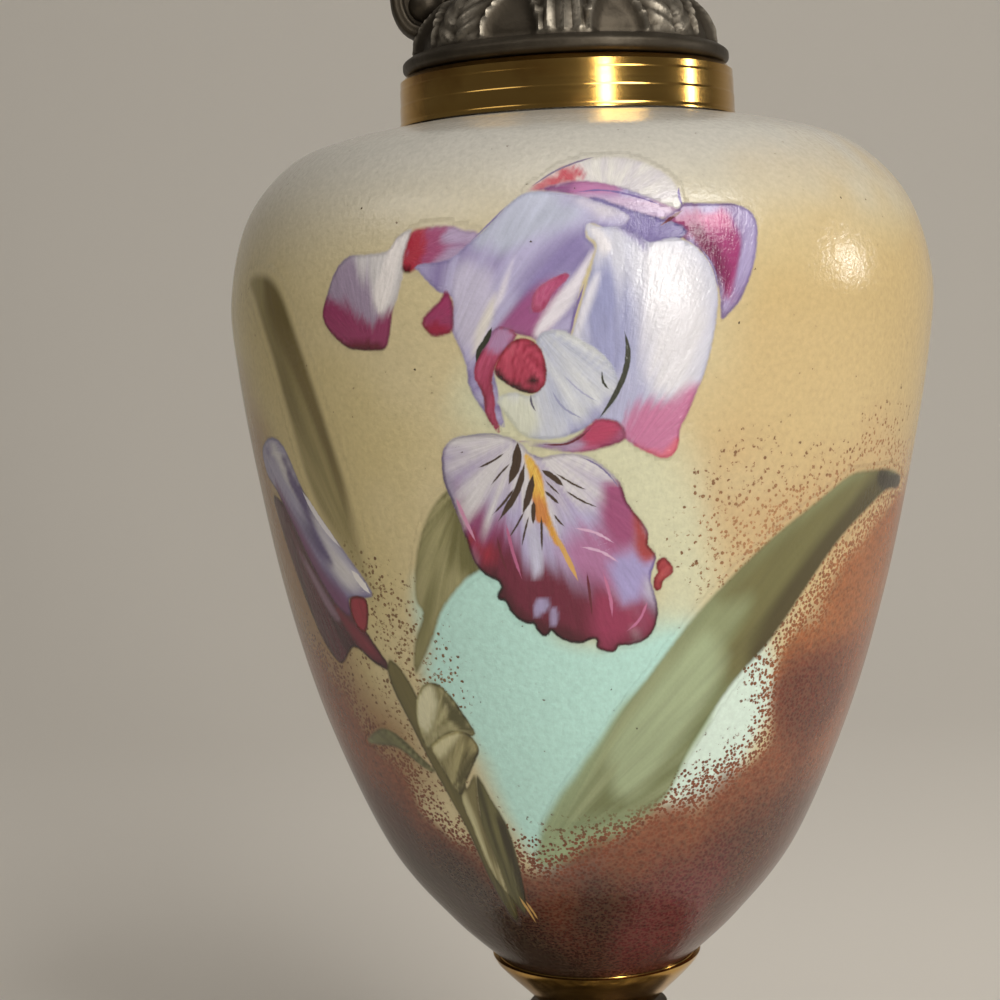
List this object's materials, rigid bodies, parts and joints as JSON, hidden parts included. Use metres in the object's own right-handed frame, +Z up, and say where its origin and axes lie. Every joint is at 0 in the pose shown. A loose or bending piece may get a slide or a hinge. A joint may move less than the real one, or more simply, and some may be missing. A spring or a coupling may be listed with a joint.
{
  "type": "ewer",
  "caption": "Tall ornamental ewer with a painted opal-glass body, brass collars and a cast spelter foot, neck, pouring mouth and scroll handle.",
  "frame": {"origin": "centre of the foot's flat underside, on the axis through both collars", "axes": "+Z up along the axis, +X towards the spout, -X towards the handle, the painted front faces -Y"},
  "size_m": [0.1254, 0.1254, 0.3279],
  "materials": {
    "spelter": "dark bronzed spelter, worn grey on the raised carving",
    "brass": "spun and polished brass with fine turning lines",
    "opal_glass": "glossy opal glass, hand painted with an iris spray over a cream, tan, aqua and rust ground"
  },
  "bodies": {
    "root": {"foot": "spelter", "lower_collar": "brass", "body": "opal_glass", "upper_collar": "brass", "neck": "spelter", "handle": "spelter"}
  },
  "joints": []
}
